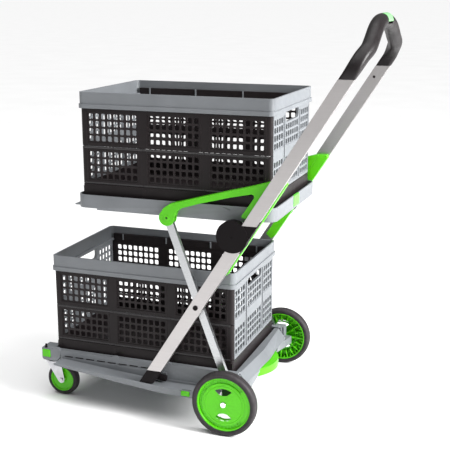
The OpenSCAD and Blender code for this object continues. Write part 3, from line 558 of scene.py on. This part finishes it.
base_low, base_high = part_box("lower_crate_base")
side_low, side_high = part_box("lower_crate_lower_sides")
INSET = 4 * MM
CRATE_L = base_high.x - base_low.x + 2 * INSET
PANEL_Y = base_high.y
BAND_H = base_high.z - base_low.z
PANEL_H = side_high.z - side_low.z
PANEL_T = 9.5 * MM
CORNER_R = 10 * MM
HINGE_DROP = 2.4 * MM
POST_W, PILLAR_W, FRAME_W = 20 * MM, 30 * MM, 11 * MM
WINDOWS, COLUMNS, ROWS = 3, 8, 4
WINDOW_W = (CRATE_L - 2 * (INSET + POST_W) - (WINDOWS - 1) * PILLAR_W) / WINDOWS
WINDOW_H = PANEL_H - 2 * FRAME_W
RIM_Z = BAND_H + 2 * PANEL_H


def side_panel(z0):
    """A long wall panel on the +Y side: rounded ends, recessed windows with a lattice in each."""
    lattice_t, outline_r = 4 * MM, CORNER_R
    outline = round_rect(INSET, CRATE_L - INSET, -PANEL_Y, PANEL_Y, outline_r)
    slab = prism(outline, z0 + 1.1 * MM, z0 + PANEL_H - 1.1 * MM)
    keep = box_mesh(0, CRATE_L, PANEL_Y - PANEL_T, PANEL_Y + 1 * MM, z0 - 1 * MM, z0 + PANEL_H + 1 * MM)
    slab = cut(slab, keep, operation="INTERSECT")
    windows = []
    for k in range(WINDOWS):
        x = INSET + POST_W + k * (WINDOW_W + PILLAR_W)
        windows.append(box_mesh(x, x + WINDOW_W, PANEL_Y - PANEL_T - 1 * MM, PANEL_Y + 1 * MM,
                                z0 + FRAME_W, z0 + PANEL_H - FRAME_W))
    walls = bevelled(cut(slab, *windows), 0.9 * MM)
    ribs = []
    for k in range(WINDOWS + 1):
        pillar = INSET + POST_W + k * (WINDOW_W + PILLAR_W) - PILLAR_W / 2
        for edge in (-1, 1):
            x = pillar + edge * (PILLAR_W / 2 - 3.5 * MM)
            if INSET + 4 * MM < x < CRATE_L - INSET - 4 * MM:
                ribs.append(box_mesh(x - 1 * MM, x + 1 * MM, PANEL_Y - 2 * MM, PANEL_Y + 0.8 * MM,
                                     z0 + 5 * MM, z0 + PANEL_H - 5 * MM))
    ribs = bevelled(joined(*ribs), 0.5 * MM)
    sheet = grown(perforated_sheet, columns=COLUMNS, rows=ROWS, pitch_x=WINDOW_W / COLUMNS,
                  pitch_z=WINDOW_H / ROWS, hole_width=0.72 * WINDOW_W / COLUMNS,
                  hole_height=0.74 * WINDOW_H / ROWS, corner=3.2 * MM, border=1.2 * MM,
                  thickness=lattice_t, sheets=WINDOWS, spacing=WINDOW_W + PILLAR_W,
                  material=black_plastic)
    sheet = moved(sheet, INSET + POST_W + WINDOW_W / 2, PANEL_Y - 2.2 * MM, z0 + PANEL_H / 2)
    return joined(walls, ribs, sheet)


def hinge_line(z, count, radius):
    """A row of hinge knuckles along the +Y wall, its axis at height z."""
    length = (CRATE_L - 2 * INSET - 16 * MM) / count
    row = grown(knuckle_row, count=count, length=length - 1.6 * MM, gap=1.6 * MM, radius=radius,
                material=black_plastic)
    return moved(row, INSET + 8 * MM, PANEL_Y - radius + 1.6 * MM, z)


def wall_flap():
    """The end wall at the front: fields of holes, a groove beside each outer field, a hand notch."""
    node_low, node_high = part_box("lower_crate_flap_front")
    x0 = INSET
    x1 = INSET + 7 * MM
    half = node_high.y
    low = node_low.z - base_low.z
    top = node_high.z - base_low.z
    middle = (low + top - 3.8 * MM) / 2
    notch_z = RIM_Z - 28 * MM
    plate = prism(round_rect(-half, half, low, top - 2 * MM, 2 * MM), x0, x1, "X")
    cutters = [prism(round_rect(-60 * MM, 60 * MM, notch_z, RIM_Z + 12 * MM, 10 * MM),
                     x0 - MM, x1 + MM, "X")]
    sheets = []
    for side in (-1, 1):
        groove = side * 71 * MM
        cutters.append(box_mesh(x0 - MM, x0 + 3.2 * MM, groove - 4 * MM, groove + 4 * MM,
                                low + 6 * MM, top - 9 * MM))
    fields = ((0, 6, low + 8 * MM, middle - 15 * MM, 4), (0, 6, middle + 12 * MM, notch_z - 4 * MM, 3),
              (-121 * MM, 4, low + 8 * MM, middle - 15 * MM, 4),
              (-121 * MM, 4, middle + 12 * MM, top - 10 * MM, 4),
              (121 * MM, 4, low + 8 * MM, middle - 15 * MM, 4),
              (121 * MM, 4, middle + 12 * MM, top - 10 * MM, 4))
    for centre, columns, z0, z1, rows in fields:
        pitch = 20 * MM
        width = columns * pitch
        cutters.append(box_mesh(x0 - MM, x1 + MM, centre - width / 2, centre + width / 2, z0, z1))
        sheet = grown(perforated_sheet, columns=columns, rows=rows, pitch_x=pitch,
                      pitch_z=(z1 - z0) / rows, hole_width=0.76 * pitch,
                      hole_height=0.76 * (z1 - z0) / rows, corner=3 * MM, border=1.2 * MM,
                      thickness=4 * MM, sheets=1, spacing=0.1, material=grey_plastic)
        sheet = turned(sheet, math.pi / 2, "Z")
        sheets.append(moved(sheet, x0 + 1.2 * MM, centre, (z0 + z1) / 2))
    barrels = [lathe([(0, a), (3.6 * MM, a), (3.6 * MM, b), (0, b)], 20, closed=False)
               for a, b in ((-half, -61 * MM), (61 * MM, half))]
    barrel = moved(joined(*barrels), 2 * INSET, 0, top - 3.8 * MM)
    return joined(bevelled(cut(plate, *cutters), 0.8 * MM), barrel, *sheets)


def rim_lining():
    """The dark inner strip under the rim's long sides."""
    strip = box_mesh(15 * MM, CRATE_L - 15 * MM, PANEL_Y - PANEL_T - 0.6 * MM, PANEL_Y - 0.4 * MM,
                     RIM_Z - 0.6 * MM, RIM_Z + 21 * MM)
    return both_sides(bevelled(strip, 0.6 * MM))


def rim_clips():
    """Small tabs on the dark strip."""
    clips = []
    for k in range(4):
        x = CRATE_L * (0.09 + 0.27 * k)
        clips.append(box_mesh(x - 2 * MM, x + 2 * MM, PANEL_Y - PANEL_T - 2.4 * MM,
                              PANEL_Y - PANEL_T + 0.5 * MM, RIM_Z + 3 * MM, RIM_Z + 22 * MM))
    return both_sides(bevelled(joined(*clips), 0.6 * MM))


def base_ribs():
    """A long bead and four shallow ribs on each long side of the crate's solid lower band."""
    bead = []
    for k in range(WINDOWS + 1):
        x = INSET + 9 * MM + k * (WINDOW_W + PILLAR_W) * 0.985
        bead.append(box_mesh(x - 6 * MM, x + 6 * MM, PANEL_Y - 2 * MM, PANEL_Y + 0.7 * MM,
                             14 * MM, BAND_H - 6 * MM))
    long_bead = box_mesh(INSET + 12 * MM, CRATE_L - INSET - 12 * MM, PANEL_Y - 2 * MM,
                         PANEL_Y + 0.8 * MM, BAND_H - 4 * MM, BAND_H - 1.2 * MM)
    return both_sides(bevelled(joined(*bead, long_bead), 0.5 * MM))


lower_sides = both_sides(side_panel(BAND_H))
upper_sides = both_sides(side_panel(BAND_H + PANEL_H))
hinges = both_sides(joined(hinge_line(BAND_H + PANEL_H - HINGE_DROP, 6, 3.0 * MM),
                           hinge_line(BAND_H + HINGE_DROP, 3, HINGE_DROP)))
front_flap = wall_flap()
rear_flap = mirrored(front_flap, 0, CRATE_L / 2)
lining, clips, ribs = rim_lining(), rim_clips(), base_ribs()
crate_rim = bevelled(cad_copy("lower_crate_rim"), 1.4 * MM, 3, 32)

for crate in ("lower", "upper"):
    low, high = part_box(crate + "_crate_base")
    x, z = low.x - INSET, low.z
    body = crate + "_crate"
    rounded_copy(body + "_base", black_plastic, 1.2 * MM)
    piece(body + "_rim_finished", moved(crate_rim, low.x - base_low.x, 0, low.z - base_low.z),
          grey_plastic, body, body + "_rim")
    piece(body + "_lower_sides_finished", moved(lower_sides, x, 0, z), black_plastic, body,
          body + "_lower_sides")
    piece(body + "_upper_sides_finished", moved(upper_sides, x, 0, z), black_plastic, body,
          body + "_upper_sides")
    # The hinge knuckles get the paler black, which paints a highlight along each hinge line.
    piece(body + "_wall_hinges", moved(hinges, x, 0, z), worn_black, body)
    piece(body + "_flap_front_finished", moved(front_flap, x, 0, z), grey_plastic,
          crate + "_front_flap", body + "_flap_front")
    piece(body + "_flap_rear_finished", moved(rear_flap, x, 0, z), grey_plastic,
          crate + "_rear_flap", body + "_flap_rear")
    piece(body + "_rim_lining", moved(lining, x, 0, z), black_plastic, body)
    piece(body + "_rim_clips", moved(clips, x, 0, z), grey_plastic, body)
    piece(body + "_base_ribs", moved(ribs, x, 0, z), black_plastic, body)


# ---------- wheels ----------


def wheel_rim(radius, width):
    """The rear wheel's rim, outer face to +Y, inner edge at y = 0."""
    face = width - 5.5 * MM
    shell = lathe([(0, face - 1.5 * MM), (0, face + 1.2 * MM), (30 * MM, face + 1.0 * MM),
                   (49 * MM, face + 0.4 * MM), (50 * MM, face - 0.6 * MM), (51.5 * MM, face - 0.6 * MM),
                   (52.5 * MM, face + 0.3 * MM), (57 * MM, face), (58 * MM, face - 3.4 * MM),
                   (66.5 * MM, face - 3.8 * MM), (68 * MM, face + 1.5 * MM), (69 * MM, face + 2.4 * MM),
                   (radius - 0.6 * MM, face + 2.4 * MM), (radius + 0.4 * MM, face + 1.2 * MM),
                   (radius + 0.4 * MM, face - 4 * MM), (68 * MM, face - 6 * MM),
                   (55 * MM, face - 6 * MM), (50 * MM, face - 2.4 * MM)], 96, closed=False)
    fans = []
    for up in (1, -1):
        outline = [(up * r * math.sin(math.radians(a)), up * r * math.cos(math.radians(a)))
                   for r, a in ((24 * MM, 0), (28 * MM, 22), (43 * MM, 32), (44.5 * MM, 16),
                                (45 * MM, 0), (44.5 * MM, -16), (43 * MM, -32), (28 * MM, -22))]
        fans.append(prism(outline, face - 12 * MM, face + 12 * MM, "Y"))
    bore = lathe([(0, -5 * MM), (7.9 * MM, -5 * MM), (7.9 * MM, width + 5 * MM), (0, width + 5 * MM)],
                 32, closed=False)
    shell = bevelled(cut(shell, *fans, bore), 0.5 * MM, 2, 40)
    filler = lathe([(57.5 * MM, face - 4 * MM), (57.5 * MM, face - 0.4 * MM),
                    (67.2 * MM, face - 0.8 * MM), (67.2 * MM, face - 4 * MM)], 24, True, 82, -42)
    barrel = lathe([(radius - 3 * MM, 0.4 * MM), (radius - 0.2 * MM, 0), (radius - 0.2 * MM, face),
                    (radius - 3 * MM, face)], 96)
    hub = lathe([(6.6 * MM, 0), (13 * MM, 0), (14 * MM, 1 * MM), (15 * MM, face - 1 * MM),
                 (6.6 * MM, face - 1 * MM)], 40)
    ring = lathe([(42 * MM, face - 10 * MM), (44 * MM, face - 10 * MM), (44 * MM, face - 1 * MM),
                  (42 * MM, face - 1 * MM)], 72)
    walls = []
    for count, inner, outer, turn in ((2, 13 * MM, 43 * MM, 0.0), (2, 13 * MM, 43 * MM, 0.6),
                                      (2, 13 * MM, 43 * MM, -0.6),
                                      (20, 47 * MM, radius - 1.5 * MM, 0.0),
                                      (20, radius - 10 * MM, radius - 1.5 * MM, math.pi / 20)):
        wall = grown(spoke_ring, count=count, inner=inner, outer=outer, thickness=1.7 * MM,
                     depth=face - 4 * MM, turn=turn, material=green_plastic)
        walls.append(moved(wall, 0, face / 2, 0))
    return joined(shell, filler, barrel, hub, ring, *walls)


def wheel_tyre(inner, outer, width):
    """Round-shouldered tyre with a shallow step on each side and two tread grooves."""
    side = []
    for k in range(7):
        a = math.radians(90 * k / 6)
        side.append((outer - 8 * MM + 8 * MM * math.sin(a), width - 8 * MM + 8 * MM * math.cos(a)))
    half = [(inner, width - 2.2 * MM), (inner + 1.2 * MM, width - 0.8 * MM),
            (inner + 3 * MM, width - 0.4 * MM), (inner + 3.8 * MM, width - 0.9 * MM)]
    tread = [(outer, width * 0.64), (outer - 0.9 * MM, width * 0.63), (outer - 0.9 * MM, width * 0.60),
             (outer, width * 0.59)]
    upper = half + side + tread
    return lathe(upper + [(r, width - y) for r, y in reversed(upper)], 120)


for name, side in SIDES:
    low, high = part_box("wheel_tyre_" + name)
    centre = (low + high) / 2
    width, outer = high.y - low.y, (high.z - low.z) / 2
    rim = wheel_rim(outer - 14 * MM, width)
    tyre = wheel_tyre(outer - 14 * MM, outer, width)
    place = dict(x=centre.x, y=low.y, z=centre.z)
    if side < 0:
        rim, tyre = mirrored(rim, 1, width / 2), mirrored(tyre, 1, width / 2)
    piece("wheel_rim_" + name + "_finished", moved(rim, **place), green_plastic, "wheel_" + name,
          "wheel_rim_" + name, smooth=38)
    piece("wheel_tyre_" + name + "_finished", moved(tyre, **place), wheel_rubber, "wheel_" + name,
          "wheel_tyre_" + name, smooth=50)


def castor_rim(radius, width):
    """Small moulded wheel centre, the same on both faces."""
    face = [(4.2 * MM, width / 2), (9 * MM, width / 2), (10 * MM, width / 2 - 0.8 * MM),
            (12 * MM, width / 2 - 4.5 * MM), (22 * MM, width / 2 - 5.5 * MM),
            (radius - 5 * MM, width / 2 - 4.0 * MM), (radius - 3 * MM, width / 2 - 0.6 * MM),
            (radius - 0.6 * MM, width / 2), (radius + 0.3 * MM, width / 2 - 1.2 * MM)]
    return lathe(face + [(r, -y) for r, y in reversed(face)], 72)


for name, side in SIDES:
    low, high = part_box("castor_tyre_" + name)
    centre = (low + high) / 2
    outer, width = (high.z - low.z) / 2, high.y - low.y
    rim = castor_rim(outer - 11 * MM, width - 2 * MM)
    place = dict(x=centre.x, y=centre.y, z=centre.z)
    piece("castor_rim_" + name + "_finished", moved(rim, **place), green_plastic,
          "castor_wheel_" + name, "castor_rim_" + name, smooth=38)
    tyre = moved(wheel_tyre(outer - 11 * MM, outer, width), 0, -width / 2, 0)
    piece("castor_tyre_" + name + "_finished", moved(tyre, **place), wheel_rubber,
          "castor_wheel_" + name, "castor_tyre_" + name, smooth=50)


# ---------- pieces that keep the frame's own shape, with finished edges ----------

ROUNDED = (
    (grey_plastic, 1.6 * MM, 3, ("lower_deck", "upper_deck")),
    (grey_plastic, 1.0 * MM, 2, ("track_left", "track_right")),
    (grey_plastic, 1.8 * MM, 3, ("castor_housing_left", "castor_housing_right")),
    (deep_black, 0.5 * MM, 2, ("crate_stops", "foot_left", "foot_right", "track_sliders")),
    (deep_black, 1.0 * MM, 3, ("joint_lower_left", "joint_lower_right",
                               "joint_upper_left", "joint_upper_right")),
    (deep_black, 0.5 * MM, 2, ("scissor_bolts",)),
    (green_plastic, 3.0 * MM, 4, ("corner_button_left", "corner_button_right",
                                  "side_button_left", "side_button_right")),
    (green_plastic, 1.8 * MM, 3, ("deck_arm_left", "deck_arm_right")),
    (green_plastic, 4.0 * MM, 4, ("brake_pedal",)),
    (soft_green_plastic, 1.6 * MM, 3, ("handle_button",)),
    (pale_green_plastic, 1.2 * MM, 3, ("deck_latch",)),
    (bar_aluminium, 1.0 * MM, 3, ("arm_bar_left", "arm_bar_right",
                                  "handle_bar_left", "handle_bar_right")),
    (strut_aluminium, 2.0 * MM, 3, ("strut_left", "strut_right")),
    (plated_steel, 0.6 * MM, 2, ("castor_fork_left", "castor_fork_right")),
    (plated_steel, 0.4 * MM, 2, ("rear_axle", "brake_shaft", "deck_rod", "foot_pins")),
    (bright_cap, 1.2 * MM, 3, ("axle_caps",)),
    (grip_rubber, 1.0 * MM, 2, ("handle_grip",)),
)
for material, width, segments, nodes in ROUNDED:
    for node in nodes:
        rounded_copy(node, material, width, segments)
for name, side in SIDES:
    rounded_copy("bar_bracket_" + name, green_plastic, 1.6 * MM, 3, corner=13 * MM)


# ---------- small fittings ----------


def dished_button(at, y, radius, proud, hole, side):
    """A round cap about Y with a small dished centre, facing out from a side."""
    profile = [(0, -1 * MM), (radius, -1 * MM), (radius, proud * 0.5), (radius * 0.9, proud),
               (hole, proud), (hole * 0.8, proud * 0.35), (0, proud * 0.3)]
    mesh = lathe(profile, 40, closed=False)
    if side < 0:
        mesh = mirrored(mesh, 1)
    return moved(mesh, at[0], y, at[1])


rod_low, rod_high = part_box("deck_rod")
rod_at = ((rod_low.x + rod_high.x) / 2, (rod_low.z + rod_high.z) / 2)
for name, side in SIDES:
    arm_low, arm_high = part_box("deck_arm_" + name)
    face = arm_low.y if side < 0 else arm_high.y
    piece("deck_arm_cap_" + name, dished_button(rod_at, face, 8 * MM, 1.0 * MM, 3.2 * MM, side),
          green_plastic, "deck")
    piece("deck_arm_screw_" + name, dished_button(rod_at, face, 2.6 * MM, 0.9 * MM, 1.1 * MM, side),
          black_plastic, "deck")
    bar_low, bar_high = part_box("handle_bar_" + name)
    inner = bar_high.y if side < 0 else bar_low.y
    piece("handle_screw_" + name, dished_button((0.3755, 0.8800), inner, 3.8 * MM, 1.4 * MM, 1.5 * MM,
                                                -side), black_plastic, "handle")

# Dark rods along each rail: the rail's slot marks, made dark so that they also stand as painted shade
# of the recess below the rail.
rail_low, rail_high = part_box("track_left")
front_x = rail_low.x + 6 * MM
shaded_slot_row = grown(knuckle_row, count=8, length=24 * MM, gap=9 * MM, radius=1.3 * MM,
                 material=deep_black)
for name, side in SIDES:
    y = side * (rail_high.y * -1 + 0.3 * MM)
    piece("rail_slots_" + name, moved(shaded_slot_row, front_x, y, rail_high.z + 2.2 * MM), deep_black,
          "chassis")

deck_low, deck_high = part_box("upper_deck")
for name, side in SIDES:
    wall = deck_low.y if side < 0 else deck_high.y
    tab = prism([(0.086, 0.5835), (0.108, 0.5765), (0.096, 0.5745)], -1.6 * MM, 1.6 * MM, "Y")
    piece("deck_tab_" + name, moved(bevelled(tab, 0.5 * MM), 0, wall, 0), grey_plastic, "deck")


# ---------- floor, light and camera ----------


def studio_floor():
    material, tree, shader, place = start_finish("studio_floor", Roughness=0.9)
    tone = blend_colors(tree, spread(tree, noise(tree, place, 2.0, 2), 0, 1),
                        (0.90, 0.90, 0.90, 1), (0.93, 0.93, 0.93, 1))
    tree.links.new(tone, shader.inputs["Base Color"])
    bm = bmesh.new()
    bmesh.ops.create_grid(bm, x_segments=8, y_segments=8, size=3000.0)
    floor = as_object(mesh_of(bm), "studio_floor")
    floor.data.materials.append(material)


def area_light(name, place, target, size, power, color=(1, 1, 1)):
    light = bpy.data.lights.new(name, "AREA")
    light.shape, light.size, light.energy, light.color = "DISK", size, power, color
    obj = bpy.data.objects.new(name, light)
    bpy.context.scene.collection.objects.link(obj)
    obj.location = place
    obj.rotation_euler = (Vector(target) - Vector(place)).to_track_quat("-Z", "Y").to_euler()


studio_floor()
area_light("rear_key", (3.1, -0.35, 1.75), (0.1, 0, 0.5), 1.5, 275)
area_light("front_fill", (-1.2, -3.4, 1.9), (0, 0, 0.5), 2.2, 4)
overhead = bpy.data.lights.new("overhead", "SUN")
overhead.energy, overhead.angle = 2.6, math.radians(70)
bpy.context.scene.collection.objects.link(bpy.data.objects.new("overhead", overhead))

world = bpy.data.worlds.new("studio")
world.use_nodes = True
world.node_tree.nodes["Background"].inputs["Color"].default_value = (1.0, 1.0, 1.0, 1)
world.node_tree.nodes["Background"].inputs["Strength"].default_value = 0.24
bpy.context.scene.world = world
bpy.context.scene.view_settings.view_transform = "Standard"

CAMERA_TURN, CAMERA_TILT = math.radians(19.76), math.radians(13.91)
camera_data = bpy.data.cameras.new("camera")
camera_data.lens, camera_data.sensor_width = 74.37, 36.0
camera = bpy.data.objects.new("camera", camera_data)
camera.location = (0.8567, -2.3222, 1.0966)
camera.rotation_euler = (math.pi / 2 - CAMERA_TILT, 0, CAMERA_TURN)
bpy.context.scene.collection.objects.link(camera)
bpy.context.scene.camera = camera
